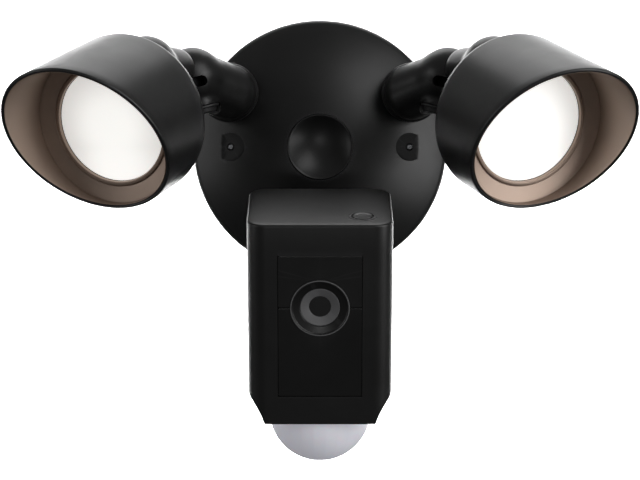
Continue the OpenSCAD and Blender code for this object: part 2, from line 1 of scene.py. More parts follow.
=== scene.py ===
import json
import math
import bpy
import numpy as np
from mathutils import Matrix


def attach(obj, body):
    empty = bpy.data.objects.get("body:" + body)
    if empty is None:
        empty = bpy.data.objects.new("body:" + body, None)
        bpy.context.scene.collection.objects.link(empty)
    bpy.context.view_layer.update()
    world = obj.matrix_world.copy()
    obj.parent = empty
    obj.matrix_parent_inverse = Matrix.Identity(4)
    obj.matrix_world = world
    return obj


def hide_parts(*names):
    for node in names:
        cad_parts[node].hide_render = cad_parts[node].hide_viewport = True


# Looks for the floodlight camera. Lengths below are millimetres until settle() turns them to metres.
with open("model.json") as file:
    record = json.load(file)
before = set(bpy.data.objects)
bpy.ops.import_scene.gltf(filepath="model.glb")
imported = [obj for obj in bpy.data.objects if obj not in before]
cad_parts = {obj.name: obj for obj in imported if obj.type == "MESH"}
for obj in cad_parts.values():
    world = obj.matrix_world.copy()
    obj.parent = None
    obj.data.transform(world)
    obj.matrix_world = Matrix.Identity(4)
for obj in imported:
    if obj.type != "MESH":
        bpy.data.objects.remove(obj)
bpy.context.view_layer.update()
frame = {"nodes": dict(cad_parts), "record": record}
scene = bpy.context.scene
print("frame loaded")


def turn(axis, degrees):
    c, s = math.cos(math.radians(degrees)), math.sin(math.radians(degrees))
    return {"x": np.array([[1, 0, 0], [0, c, -s], [0, s, c]]),
            "y": np.array([[c, 0, s], [0, 1, 0], [-s, 0, c]]),
            "z": np.array([[c, -s, 0], [s, c, 0], [0, 0, 1]])}[axis]


# where each group's own axes sit: the wall (+Z out of the wall), the left light (+Z out of the can),
# the left knuckle (+Z along its pin), the camera (origin at the front's top edge) and the object itself
placing = {
    "wall": (turn("x", 90), (0, 0, 0)),
    "head": (turn("z", -25.6) @ turn("x", 107.4), (-96.8, -118, 10)),
    "knuckle": (turn("y", -15), (-63.4, -50, 34.6)),
    "camera": (turn("x", 17.1), (0, -111.3, -36.6)),
    "object": (np.eye(3), (0, 0, 0)),
}


# local points to metres in the shared frame, mirrored for the right side
def settle(points, where, side=-1):
    matrix, origin = placing[where]
    world = np.asarray(points, float) @ matrix.T + np.array(origin, float)
    if side > 0:
        world = world * np.array([-1.0, 1.0, 1.0])
    return world * 0.001


# points of the object to a group's own axes
def fromObject(points, where):
    matrix, origin = placing[where]
    return (np.asarray(points, float) - np.array(origin, float)) @ matrix


# a grid of rows of points becomes a closed mesh: each row is a loop, neighbouring rows are joined by quads,
# the first and last row end in a tip point, or the last row joins the first when ring is true
def skin(name, rows, where, side=-1, ring=False, tips=(None, None), crease=38):
    count, around = rows.shape[:2]
    points = rows.reshape(-1, 3)
    i = np.arange(count if ring else count - 1)[:, None]
    j = np.arange(around)[None, :]
    nextRow, nextCol = (i + 1) % count, (j + 1) % around
    here, there = i * around, nextRow * around
    quads = np.stack([here + j, here + nextCol, there + nextCol, there + j], -1)
    quads = quads.reshape(-1, 4)
    j = np.arange(around)
    fans = []
    for tip, row, flip in ((tips[0], 0, True), (tips[1], count - 1, False)):
        if not ring:
            middle = rows[row].mean(0) if tip is None else np.array(tip, float)
            points = np.vstack([points, middle])
            a, b = row * around + j, row * around + (j + 1) % around
            tipIndex = np.full(around, len(points) - 1)
            fans.append(np.stack([b, a, tipIndex] if flip else [a, b, tipIndex], -1))
    fans = np.concatenate(fans) if fans else np.zeros((0, 3), int)
    world = settle(points, where, side)
    p = world[quads]
    volume = np.einsum("ij,ij->", p[:, 0], np.cross(p[:, 1], p[:, 2]))
    volume += np.einsum("ij,ij->", p[:, 0], np.cross(p[:, 2], p[:, 3]))
    t = world[fans]
    volume += np.einsum("ij,ij->", t[:, 0], np.cross(t[:, 1], t[:, 2])) if len(fans) else 0
    if volume < 0:
        quads, fans = quads[:, ::-1], fans[:, ::-1]
    mesh = bpy.data.meshes.new(name)
    mesh.vertices.add(len(world))
    mesh.vertices.foreach_set("co", world.astype(np.float32).ravel())
    corners = np.concatenate([quads.ravel(), fans.ravel()]).astype(np.int32)
    sizes = np.concatenate([np.full(len(quads), 4), np.full(len(fans), 3)])
    mesh.loops.add(len(corners))
    mesh.loops.foreach_set("vertex_index", corners)
    mesh.polygons.add(len(sizes))
    mesh.polygons.foreach_set("loop_start", np.concatenate([[0], np.cumsum(sizes)[:-1]]).astype(np.int32))
    mesh.update(calc_edges=True)
    mesh.validate()
    piece = bpy.data.objects.new(name, mesh)
    scene.collection.objects.link(piece)
    smoothOver(piece, crease)
    return piece


def smoothOver(piece, crease):
    piece.data.polygons.foreach_set("use_smooth", np.ones(len(piece.data.polygons), bool))
    piece.data.set_sharp_from_angle(angle=math.radians(crease))


# a line through corners (radius, height, fillet) with each corner rounded by an arc of its fillet
def roundedLine(corners, closed=False, steps=7):
    points = np.array([c[:2] for c in corners], float)
    fillets = [c[2] if len(c) > 2 else 0 for c in corners]
    line, last = [], len(points) - 1
    for k, point in enumerate(points):
        if fillets[k] == 0 or (not closed and k in (0, last)):
            line.append(point[None])
            continue
        a = points[k - 1] - point
        b = points[(k + 1) % len(points)] - point
        a, b = a / np.linalg.norm(a), b / np.linalg.norm(b)
        half = math.acos(max(-1, min(1, float(a @ b)))) / 2
        centre = point + (a + b) / np.linalg.norm(a + b) * fillets[k] / math.sin(half)
        reach = fillets[k] / math.tan(half)
        start, end = point + a * reach - centre, point + b * reach - centre
        sweep = math.pi - 2 * half
        t = np.linspace(0, 1, steps)[:, None]
        line.append(centre + (np.sin((1 - t) * sweep) * start + np.sin(t * sweep) * end) / math.sin(sweep))
    return np.concatenate(line)


# each point of a profile (radius, height) carried round the local Z axis
def spun(name, corners, where, side=-1, ring=False, shift=(0, 0, 0), around=160, crease=38, lean=None):
    profile = roundedLine(corners, ring)
    tips = [None, None]
    if not ring:
        for end in (0, -1):
            if profile[end, 0] < 1e-6:
                tips[end] = np.array([0, 0, profile[end, 1]])
        profile = profile[(0 if tips[0] is None else 1):(len(profile) if tips[1] is None else -1)]
    angle = np.linspace(0, 2 * math.pi, around, endpoint=False)
    radius, height = profile[:, 0][:, None], profile[:, 1][:, None]
    rows = np.stack([radius * np.cos(angle), radius * np.sin(angle), height + 0 * angle], -1)
    if lean is not None:
        rows = rows @ lean.T
        tips = [None if t is None else t @ lean.T for t in tips]
    tips = [None if t is None else t + np.array(shift) for t in tips]
    return skin(name, rows + np.array(shift, float), where, side, ring, tips, crease)


# distances to solids, below zero inside
def ballField(p, centre, radius):
    return np.linalg.norm(p - np.array(centre, float), axis=-1) - radius


def rodField(p, a, b, radius):
    a, b = np.array(a, float), np.array(b, float)
    t = np.clip((p - a) @ (b - a) / ((b - a) @ (b - a)), 0, 1)
    return np.linalg.norm(p - a - t[..., None] * (b - a), axis=-1) - radius


def drumField(p, low, high, radius, edge):
    wide = np.hypot(p[..., 0], p[..., 1]) - radius + edge
    tall = np.abs(p[..., 2] - (low + high) / 2) - (high - low) / 2 + edge
    return np.minimum(np.maximum(wide, tall), 0) + np.hypot(np.maximum(wide, 0), np.maximum(tall, 0)) - edge


# two solids run into each other over a soft width k
def melt(a, b, k):
    h = np.clip(0.5 + 0.5 * (b - a) / k, 0, 1)
    return b * (1 - h) + a * h - k * h * (1 - h)


# along each ray, the distance at which the field passes from inside to outside, by halving
def castOut(field, origins, directions, reach):
    near, far = np.zeros(directions.shape[:-1]), np.full(directions.shape[:-1], float(reach))
    for _ in range(26):
        middle = (near + far) / 2
        inside = field(origins + directions * middle[..., None]) < 0
        near, far = np.where(inside, middle, near), np.where(inside, far, middle)
    return origins + directions * near[..., None]


# rows of a blended solid: ray origins move along stations (point, tilt in degrees, rows to the next one);
# a ray leaves at its angle round the way axis and tilts towards it
def castRows(field, stations, way, across, reach, around=176):
    way, across = np.array(way, float), np.array(across, float)
    other = np.cross(way, across)
    keys = np.concatenate([[0], np.cumsum([s[2] for s in stations[:-1]])])
    t = np.arange(keys[-1] + 1)
    origin = np.stack([np.interp(t, keys, [s[0][k] for s in stations]) for k in range(3)], -1)
    tilt = np.radians(np.interp(t, keys, [s[1] for s in stations]))[:, None, None]
    angle = np.linspace(0, 2 * math.pi, around, endpoint=False)[None, :, None]
    radial = np.cos(angle) * across + np.sin(angle) * other
    rays = np.cos(tilt) * radial + np.sin(tilt) * way
    return castOut(field, origin[:, None, :] + 0 * rays, rays, reach)


# outline of a rounded rectangle about its middle, one point for each angle
def roundedBox(halfWide, halfDeep, radius, around):
    angle = np.linspace(0, 2 * math.pi, around, endpoint=False)
    rays = np.stack([np.cos(angle), np.sin(angle)], -1)

    def field(p):
        q = np.abs(p) - np.array([halfWide - radius, halfDeep - radius])
        return np.minimum(q.max(-1), 0) + np.linalg.norm(np.maximum(q, 0), axis=-1) - radius
    return castOut(field, np.zeros_like(rays), rays, halfWide + halfDeep)


# a slab between two heights whose outline shrinks by an arc at both faces
def slabRows(outline, low, high, edge, steps=5):
    nextPoint, lastPoint = np.roll(outline, -1, 0), np.roll(outline, 1, 0)
    along = nextPoint - lastPoint
    along = along / np.linalg.norm(along, axis=-1, keepdims=True)
    inward = np.stack([-along[:, 1], along[:, 0]], -1)
    t = np.linspace(0, math.pi / 2, steps)
    inset = np.concatenate([edge * (1 - np.sin(t)), edge * (1 - np.cos(t))])
    height = np.concatenate([low + edge * (1 - np.cos(t)), high - edge * (1 - np.sin(t))])
    flat = outline[None] + inward[None] * inset[:, None, None]
    return np.concatenate([flat, np.broadcast_to(height[:, None, None], flat.shape[:2] + (1,))], -1)


# takes the cutters' solids out of a piece and throws the cutters away
def carve(piece, cutters, crease=38):
    for cutter in cutters:
        cut = piece.modifiers.new("cut", "BOOLEAN")
        cut.object = cutter
        cut.operation = "DIFFERENCE"
        cut.solver = "EXACT"
    bpy.context.view_layer.update()
    evaluated = piece.evaluated_get(bpy.context.evaluated_depsgraph_get())
    mesh = bpy.data.meshes.new_from_object(evaluated)
    piece.modifiers.clear()
    piece.data = mesh
    for cutter in cutters:
        bpy.data.objects.remove(cutter)
    smoothOver(piece, crease)


# sRGB hex to the linear colour that a shader takes
def hexColour(code):
    value = np.array([int(code[k:k + 2], 16) / 255 for k in (1, 3, 5)])
    linear = np.where(value <= 0.04045, value / 12.92, ((value + 0.055) / 1.055) ** 2.4)
    return (*linear, 1.0)


# one node: settings are its properties or its inputs, links maps an input to (node, output)
def addNode(tree, kind, settings=(), links=()):
    node = tree.nodes.new(kind)
    for key, value in dict(settings).items():
        if isinstance(key, str) and hasattr(node, key):
            setattr(node, key, value)
        else:
            node.inputs[key].default_value = value
    for key, (source, output) in dict(links).items():
        tree.links.new(source.outputs[output], node.inputs[key])
    return node


cloudMm = 22
# the middle of a diffuser, in metres and without signs, and between which distances its glow fades
glowPlace = {"middle": (0.0975, 0.118, 0.0095), "near": 0.008, "far": 0.031}
# entries of a look that go straight into an input of the shader
shaderInputs = {"ior": "IOR", "coat": "Coat Weight", "coatRough": "Coat Roughness",
                "glow": "Emission Strength", "scatter": "Subsurface Weight",
                "scatterScale": "Subsurface Scale"}


# a surface with cloudy colour, uneven roughness, a fine grain and lighter rubbed edges.
# look holds: low and high colour, rough range, grain in mm and its height, edge colour and how much it shows
def makeFinish(name, look):
    material = bpy.data.materials.new(name)
    material.use_nodes = True
    tree = material.node_tree
    tree.nodes.clear()
    place = addNode(tree, "ShaderNodeTexCoord")
    cloud = addNode(tree, "ShaderNodeTexNoise", {"Scale": 1000 / cloudMm, "Detail": 4.0, "Roughness": 0.6},
                    {"Vector": (place, "Object")})
    fine = addNode(tree, "ShaderNodeTexNoise",
                   {"Scale": 1000 / look["grainMm"], "Detail": 3.0, "Roughness": 0.55},
                   {"Vector": (place, "Object")})
    colour = addNode(tree, "ShaderNodeMix",
                     {"data_type": "RGBA", 6: hexColour(look["low"]), 7: hexColour(look["high"])},
                     {0: (cloud, "Fac")})
    worn = addNode(tree, "ShaderNodeNewGeometry")
    edge = addNode(tree, "ShaderNodeMapRange",
                   {"From Min": 0.515, "From Max": 0.60, "To Min": 0.0, "To Max": look.get("wear", 0.3)},
                   {"Value": (worn, "Pointiness")})
    rubbed = addNode(tree, "ShaderNodeMix",
                     {"data_type": "RGBA", 7: hexColour(look.get("edge", look["high"]))},
                     {0: (edge, "Result"), 6: (colour, 2)})
    smooth, coarse = look["rough"]
    rough = addNode(tree, "ShaderNodeMapRange",
                    {"From Min": 0.25, "From Max": 0.75, "To Min": smooth, "To Max": coarse},
                    {"Value": (cloud, "Fac")})
    bump = addNode(tree, "ShaderNodeBump", {"Strength": 0.2, "Distance": look["grainHeightMm"] / 1000},
                   {"Height": (fine, "Fac")})
    settings = {"Metallic": look.get("metallic", 0.0)}
    settings.update({label: look[key] for key, label in shaderInputs.items() if key in look})
    if "glowColour" in look:
        settings["Emission Color"] = hexColour(look["glowColour"])
    shader = addNode(tree, "ShaderNodeBsdfPrincipled", settings,
                     {"Base Color": (rubbed, 2), "Roughness": (rough, "Result"), "Normal": (bump, "Normal")})
    if "glowEdge" in look:
        mirrored = addNode(tree, "ShaderNodeVectorMath", {"operation": "ABSOLUTE"}, {0: (place, "Object")})
        away = addNode(tree, "ShaderNodeVectorMath", {"operation": "DISTANCE", 1: glowPlace["middle"]},
                       {0: (mirrored, "Vector")})
        fade = addNode(tree, "ShaderNodeMapRange",
                       {"interpolation_type": "SMOOTHSTEP", "From Min": glowPlace["near"],
                        "From Max": glowPlace["far"], "To Min": look["glow"], "To Max": look["glowEdge"]},
                       {"Value": (away, "Value")})
        tree.links.new(fade.outputs["Result"], shader.inputs["Emission Strength"])
    addNode(tree, "ShaderNodeOutputMaterial", {}, {"Surface": (shader, "BSDF")})
    return material


finishes = {
    # moulded ABS with a fine spark texture: satin, broad soft highlights
    "black_shell": {"low": "#101010", "high": "#151515", "rough": (0.34, 0.42),
                    "grainMm": 0.45, "grainHeightMm": 0.02, "edge": "#38383a", "wear": 0.35, "ior": 1.5},
    # smoother ABS and acrylic of the camera's front: deeper and a little glossier
    "black_front": {"low": "#0e0e0e", "high": "#121212", "rough": (0.28, 0.34),
                    "grainMm": 0.7, "grainHeightMm": 0.008, "edge": "#303030", "wear": 0.3, "ior": 1.49},
    # pressed silicone: matte, slightly dusty
    "seal_rubber": {"low": "#1e1e1f", "high": "#262627", "rough": (0.55, 0.7),
                    "grainMm": 0.6, "grainHeightMm": 0.02, "edge": "#3a3a3b", "ior": 1.41},
    # zinc-plated steel: cool grey metal with faint blotches
    "zinc_steel": {"low": "#8d8f92", "high": "#a9abae", "rough": (0.28, 0.42),
                   "grainMm": 0.8, "grainHeightMm": 0.01, "metallic": 1.0, "edge": "#c4c6c8"},
    # glass-filled nylon: dry, slightly lighter than the shell
    "dark_grip": {"low": "#191919", "high": "#212122", "rough": (0.45, 0.6),
                  "grainMm": 0.5, "grainHeightMm": 0.03, "edge": "#444446", "wear": 0.4, "ior": 1.53},
    # satin grey paint of the lens barrel: light, even, barely shiny; on the lens ring's thin edge the same
    # grey is a painted highlight
    "lens_grey": {"low": "#5a5a5b", "high": "#636364", "rough": (0.3, 0.4),
                  "grainMm": 0.4, "grainHeightMm": 0.008, "edge": "#6a6a6c", "ior": 1.5},
    # painted die casting of the ball stud: dark and slightly pitted, bright where it is rubbed
    "cast_metal": {"low": "#2b2b2d", "high": "#353537", "rough": (0.4, 0.5),
                   "grainMm": 0.9, "grainHeightMm": 0.05, "edge": "#77777a", "wear": 0.5, "ior": 1.5},
    # white moulded nylon: warm white, soft shine
    "white_plastic": {"low": "#d9d9d6", "high": "#e6e6e3", "rough": (0.4, 0.5),
                      "grainMm": 0.5, "grainHeightMm": 0.01, "edge": "#f2f2f0", "ior": 1.53},
    # opal polycarbonate: white, its skin a little glossy, lit from behind most strongly at the middle
    "diffuser_white": {"low": "#e9e9e8", "high": "#f3f3f2", "rough": (0.3, 0.4),
                       "grainMm": 0.5, "grainHeightMm": 0.006, "ior": 1.58, "glow": 0.82, "glowEdge": 0.52,
                       "glowColour": "#fdfcf8", "scatter": 0.2, "scatterScale": 0.003},
    # metallic warm grey inside the hood, on the funnel ring and on the diffuser's lip: painted light standing
    # for the lamp's warm light on black plastic, with a soft sheen that follows the tube
    "bronze_paint": {"low": "#9a877a", "high": "#a89486", "rough": (0.36, 0.46),
                     "grainMm": 0.35, "grainHeightMm": 0.008, "metallic": 0.55, "edge": "#9a8b7e"},
    # green solder mask: deep green with a slight shine
    "board_green": {"low": "#123a22", "high": "#18492c", "rough": (0.3, 0.4),
                    "grainMm": 0.8, "grainHeightMm": 0.01, "ior": 1.55},
    # bare aluminium: pale, unevenly bright metal
    "spreader_alloy": {"low": "#b9babb", "high": "#cdcecf", "rough": (0.3, 0.45),
                       "grainMm": 0.6, "grainHeightMm": 0.01, "metallic": 1.0},
    # coated optical glass: nearly black with a cool shine
    "lens_clear": {"low": "#0b0c10", "high": "#10121a", "rough": (0.03, 0.05),
                   "grainMm": 5, "grainHeightMm": 0.0005, "ior": 1.6,
                   "coat": 1.0, "coatRough": 0.02, "wear": 0.0},
    # cloudy polyethylene of the sensor's dome: pale with a violet cast, and a faint violet-white glow that is
    # painted light, as the dome is no lamp
    "dome_smoke": {"low": "#d4d4db", "high": "#dcdce2", "rough": (0.4, 0.5),
                   "grainMm": 0.7, "grainHeightMm": 0.01, "ior": 1.51,
                   "scatter": 0.3, "scatterScale": 0.004, "edge": "#e0e0e4",
                   "glow": 0.25, "glowColour": "#e9e9f4"},
}
materials = {slot: makeFinish(slot, look) for slot, look in finishes.items()}
for entry in frame["record"]["subparts"]:
    node = frame["nodes"][entry["node"]]
    node.data.materials.clear()
    node.data.materials.append(materials[entry["material_slot"]])
print("materials ready")


# gives a finished piece its material, its body and the nodes it stands for
def fit(piece, body, slot, stands=()):
    piece.data.materials.clear()
    piece.data.materials.append(materials[slot])
    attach(piece, body)
    if stands:
        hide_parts(*stands)


canopySettings = {"radius": 65.4, "crown": 31, "edge": 10, "rimRound": 5.5, "back": 2.1, "backStep": 1.2,
                  "pocketAt": 45.8, "pocketRadius": 7.2, "pocketEnd": 50.2, "pocketFloor": 19.3,
                  "wellRadius": 2.0, "wellFloor": 17.4, "screwRadius": 1.5, "screwTop": 18.8,
                  "padAt": (46.4, 27.6), "padRadius": 15, "padTop": 23.95,
                  "capRadius": 16.7, "capFloor": 24, "dishRadius": 26, "dishReach": 15.9, "dishFloor": 24.55}


# height over radius follows a circle: crown - R + sqrt(R^2 - r^2), with an arc into a short straight wall
def canopyProfile(s):
    rise = s["crown"] - s["edge"]
    crownRadius = (s["radius"] ** 2 + rise ** 2) / (2 * rise)
    r = np.linspace(0, s["radius"], 46)
    z = s["crown"] - crownRadius + np.sqrt(crownRadius ** 2 - r ** 2)
    crown = [(float(a), float(b), 0) for a, b in zip(r[:42], z[:42])]
    wall = [(0, s["back"], 0), (s["radius"] - s["backStep"], s["back"], 0), (s["radius"], 3.2, 0),
            (s["radius"], s["edge"], s["rimRound"])]
    return wall + crown[::-1]


# a D-shaped recess with a round well in its floor, as two cutters; x is -1 or 1
def pocketCutters(s, x):
    angle = np.linspace(-math.pi, math.pi, 120, endpoint=False)
    across = s["pocketAt"] * x - x * np.cos(angle) * s["pocketRadius"]
    outline = np.stack([across, np.sin(angle) * s["pocketRadius"]], -1)
    outline[:, 0] = x * np.minimum(x * outline[:, 0], s["pocketEnd"])
    outline = outline if x > 0 else outline[::-1]
    pocket = skin("pocketCut", slabRows(outline, s["pocketFloor"], 40, 0.02), "wall")
    floor, r = s["wellFloor"], s["wellRadius"]
    well = spun("wellCut", [(0, floor, 0), (r, floor, 0), (r, 20, 0), (0, 20, 0)], "wall",
                shift=(s["pocketAt"] * x, 0, 0), around=48)
    return [pocket, well]


# a small round head with a socket, standing in its well
def makeScrew(s, x, label):
    top, r = s["screwTop"], s["screwRadius"]
    profile = [(0, top - 0.6, 0), (0.6, top - 0.6, 0), (0.65, top, 0.1), (1.1, top, 0.25),
               (r, top - 0.5, 0.1), (r, top - 1.3, 0), (0, top - 1.3, 0)]
    screw = spun("canopyScrew" + label, profile, "wall", shift=(s["pocketAt"] * x, 0, 0), around=48)
    fit(screw, "mount", "zinc_steel", ["canopy_screws"])


# the dish's height over radius follows a circle that curves the other way: floor + R - sqrt(R^2 - r^2)
def makeDish(s):
    r = np.linspace(0, s["dishReach"], 24)
    z = s["dishFloor"] + s["dishRadius"] - np.sqrt(s["dishRadius"] ** 2 - r ** 2)
    bowl = [(float(a), float(b), 0) for a, b in zip(r, z)]
    edge, under = s["capRadius"], s["capFloor"] + 0.3
    rim = [(16.35, 30.1, 0.25), (edge, 29.6, 0.2), (edge, under, 0), (0, under, 0)]
    cap = spun("centreDish", bowl + rim, "wall", around=200, crease=50)
    fit(cap, "mount", "black_shell", ["centre_cap"])


def makeCanopy(s):
    canopy = spun("canopySkin", canopyProfile(s), "wall", around=240, crease=50)
    hole, floor = s["capRadius"] + 0.15, s["capFloor"]
    cutters = []
    for x, label in ((-1, "Left"), (1, "Right")):
        cutters += pocketCutters(s, x)
        makeScrew(s, x, label)
    cutters.append(spun("capCut", [(0, floor, 0), (hole, floor, 0), (hole, 40, 0), (0, 40, 0)], "wall"))
    carve(canopy, cutters, 40)
    fit(canopy, "mount", "black_shell", ["canopy"])
    padX, padY = s["padAt"]
    for x, label in ((-padX, "Left"), (padX, "Right")):
        profile = [(0, 8, 0), (s["padRadius"], 8, 0), (s["padRadius"], s["padTop"], 0.7), (0, s["padTop"], 0)]
        fit(spun("armPad" + label, profile, "wall", shift=(x, padY, 0)), "mount", "black_shell")
    makeDish(s)


makeCanopy(canopySettings)
print("canopy made")


armSettings = {"at": (-46.4, 27.6), "swivel": (-46.4, -27.2, 27.6), "elbow": (-46.4, -33.5, 27.6),
               "knuckle": (-63.4, -50, 34.6), "flangeLow": 25.05, "flangeHigh": 29.6, "flangeRadius": 14.95,
               "tube": 13.9, "ball": 14.3, "barrel": 9.6, "barrelLow": -15.5,
               "slotLow": -6.1, "slotHigh": -0.9, "slotReach": 7.4, "slotRound": 2.4,
               "sealInner": 9.5, "sealOuter": 15.05, "sealLow": 24.03, "sealHigh": 24.97}


# distance to a flange, two rods that meet in the elbow, a ball and a drum along the pin, melted together
def armField(p, s):
    x, z = s["at"]
    onWall = np.stack([p[..., 0] - x, p[..., 2] - z, -p[..., 1]], -1)
    flange = drumField(onWall, s["flangeLow"], s["flangeHigh"], s["flangeRadius"], 0.7)
    tube = np.minimum(rodField(p, (x, -27, z), s["elbow"], s["tube"]),
                      rodField(p, s["elbow"], s["knuckle"], s["tube"]))
    shape = melt(flange, tube, 1.2)
    shape = melt(shape, ballField(p, s["knuckle"], s["ball"]), 3)
    onPin = fromObject(p, "knuckle")
    barrel = drumField(onPin, s["barrelLow"], 0, s["barrel"], 0.8)
    return melt(shape, barrel, 1.5)


# a cutter for the slot of the knuckle: a rounded oblong, drawn along the pin and pushed across it
def slotCutter(s, side):
    low, high, reach, bend = s["slotLow"], s["slotHigh"], s["slotReach"], s["slotRound"]
    corner = roundedLine([(-30, low), (reach, low, bend), (reach, high, bend), (-30, high)], steps=9)
    y = np.array([-30.0, 6.0])
    shape = (2, len(corner))
    rows = np.stack([np.broadcast_to(corner[:, 0], shape), np.broadcast_to(y[:, None], shape),
                     np.broadcast_to(corner[:, 1], shape)], -1)
    return skin("slotCut", rows, "knuckle", side)


# the elbow's surface is where rays from a line through its middle leave the field
def makeArm(s, side, label):
    stations = [(s["swivel"], -90, 26), (s["swivel"], 0, 12), (s["elbow"], 0, 52), (s["knuckle"], 0, 34),
                (s["knuckle"], 90, 0)]
    rows = castRows(lambda p: armField(p, s), stations, (0, -1, 0), (1, 0, 0), 40)
    arm = skin("armSkin" + label, rows[1:-1], "object", side, tips=(rows[0, 0], rows[-1, 0]), crease=45)
    slot = slotCutter(s, side)
    cut, end = s["barrel"] + 0.3, s["barrelLow"]
    seat = spun("nutCut", [(0, -40, 0), (cut, -40, 0), (cut, end, 0), (0, end, 0)], "knuckle", side)
    carve(arm, [slot, seat], 40)
    name, body = label.lower(), "swivel_arm_" + label.lower()
    fit(arm, body, "black_shell", ["arm_" + name])
    inner, outer, low, high = s["sealInner"], s["sealOuter"], s["sealLow"], s["sealHigh"]
    profile = [(inner, low, 0), (outer, low, 0.3), (outer, high, 0.3), (inner, high, 0)]
    seal = spun("armSeal" + label, profile, "wall", side, ring=True, shift=(*s["at"], 0))
    fit(seal, body, "dark_grip", ["arm_seal_" + name])
    grip = s["barrel"] - 0.2
    profile = [(0, -19.1, 0), (7.2, -19.1, 0.8), (8.0, -16.8, 0.3), (grip, -16.7, 0.5), (grip, -15.6, 0.2),
               (0, -15.6, 0)]
    nut = spun("gripNut" + label, profile, "knuckle", side)
    fit(nut, body, "dark_grip", ["knuckle_nut_" + name])


# coat is the thickness of the painted-light sheet inside the hood
headSettings = {"radius": 39.3, "wall": 1.9, "coat": 0.2, "back": -17,
                "rimMid": 24, "rimSlant": 27, "rimTurn": 7,
                "lump": (0, 17.2, -38.9), "lumpRadius": 15, "neck": (0, 9.2, -62.5), "neckRadius": 11.2,
                "cup": 14.65, "tongueRadius": 5.2, "tongueLow": -5.9, "tongueHigh": -1.1}


# an open tube from base up to a rim in a slanted plane: at each angle a the rim's height is
# rimMid - (nx r cos a + ny r sin a) / nz, with n the plane's normal; the lip is half a circle
def slantedTube(name, s, outer, inner, base, below, side):
    angle = np.linspace(0, 2 * math.pi, 256, endpoint=False)
    g, t = math.radians(s["rimSlant"]), math.radians(s["rimTurn"])
    nx, ny, nz = math.sin(t) * math.sin(g), -math.cos(t) * math.sin(g), math.cos(g)
    middle, lip = (outer + inner) / 2, (outer - inner) / 2
    rim = s["rimMid"] - below - (nx * middle * np.cos(angle) + ny * middle * np.sin(angle)) / nz
    arc = np.linspace(0, math.pi, 9)
    radii = np.concatenate([np.full(12, outer), middle + lip * np.cos(arc[1:-1]), np.full(12, inner)])
    up = np.concatenate([np.linspace(0, 1, 12), np.ones(7), np.linspace(1, 0, 12)])
    over = np.concatenate([np.zeros(12), lip * np.sin(arc[1:-1]), np.zeros(12)])
    height = base + up[:, None] * (rim - lip - base)[None] + over[:, None]
    rows = np.stack([radii[:, None] * np.cos(angle), radii[:, None] * np.sin(angle), height], -1)
    return skin(name, rows, "head", side, ring=True, crease=50)


# the black hood, and on its inside a thin warm grey sheet that stops just short of the lip: painted light,
# the lamp's warm light on the black plastic
def makeHood(s, side, label):
    body, inner = "light_" + label.lower(), s["radius"] - s["wall"]
    hood = slantedTube("hoodSkin" + label, s, s["radius"], inner, s["back"] + 0.02, 0, side)
    fit(hood, body, "black_shell", ["hood_" + label.lower()])
    face = inner - 0.02
    coat = slantedTube("hoodPaintedWarmLight" + label, s, face, face - s["coat"], 1.5, 0.35, side)
    fit(coat, body, "bronze_paint")


# distance to a rounded disc under a ball-shaped cap, with a lump and a neck melted on
def backField(p, s):
    disc = drumField(p, -23.5, -4, 39.2, 6.4)
    cylinder = np.hypot(p[..., 0], p[..., 1]) - 33
    dome = -melt(-ballField(p, (0, 0, 29), 62), -cylinder, 3)
    cap = melt(disc, dome, 3)
    neck = rodField(p, s["lump"], s["neck"], s["neckRadius"])
    lump = melt(ballField(p, s["lump"], s["lumpRadius"]), neck, 3)
    return melt(cap, lump, 5)


# the light's rounded back runs into a short neck, which is hollowed for the knuckle's ball and slot
def makeBack(s, side, label):
    start = (0, 0, s["back"] - 0.06)
    stations = [(start, 0, 84), ((0, 17.2, -20), 40, 26), (s["lump"], 0, 40), (s["neck"], 0, 30),
                (s["neck"], 90, 0)]
    rows = castRows(lambda p: backField(p, s), stations, (0, 0, -1), (1, 0, 0), 60, 220)
    back = skin("lightBackSkin" + label, rows[:-1], "head", side, tips=(start, rows[-1, 0]), crease=55)
    r = s["cup"]
    bowl = [(r * math.cos(a), r * math.sin(a), 0) for a in np.linspace(-1.5, 1.5, 50)]
    cup = spun("cupCut", [(0, -r, 0)] + bowl + [(0, r, 0)], "knuckle", side, around=120)
    square = roundedBox(30, 30, 0.5, 200) + np.array([0, 8])
    ledge = skin("ledgeCut", slabRows(square, -60, -0.1, 0.05), "knuckle", side)
    carve(back, [cup, ledge], 45)
    body = "light_" + label.lower()
    fit(back, body, "black_shell", ["light_back_" + label.lower()])
    angle = np.linspace(0, math.pi, 40)
    r = s["tongueRadius"]
    end = np.stack([r * np.cos(angle), r * np.sin(angle)], -1)
    outline = np.vstack([end, [[-r, -6], [-4.9, -30], [4.9, -30], [r, -6]]]) @ turn("z", 25.6)[:2, :2]
    tongue = skin("tongue" + label, slabRows(outline, s["tongueLow"], s["tongueHigh"], 0.5), "knuckle", side)
    fit(tongue, body, "dark_grip")


frontSettings = {"funnelInner": 29.3, "funnelOuter": 37.1, "back": -3.4, "lipInner": 27.45, "lipOuter": 29.2,
                 "lipTop": 0.9, "glassRadius": 27.3, "glassFlat": 26.6, "glassSphere": 300, "glassTop": 0.2}


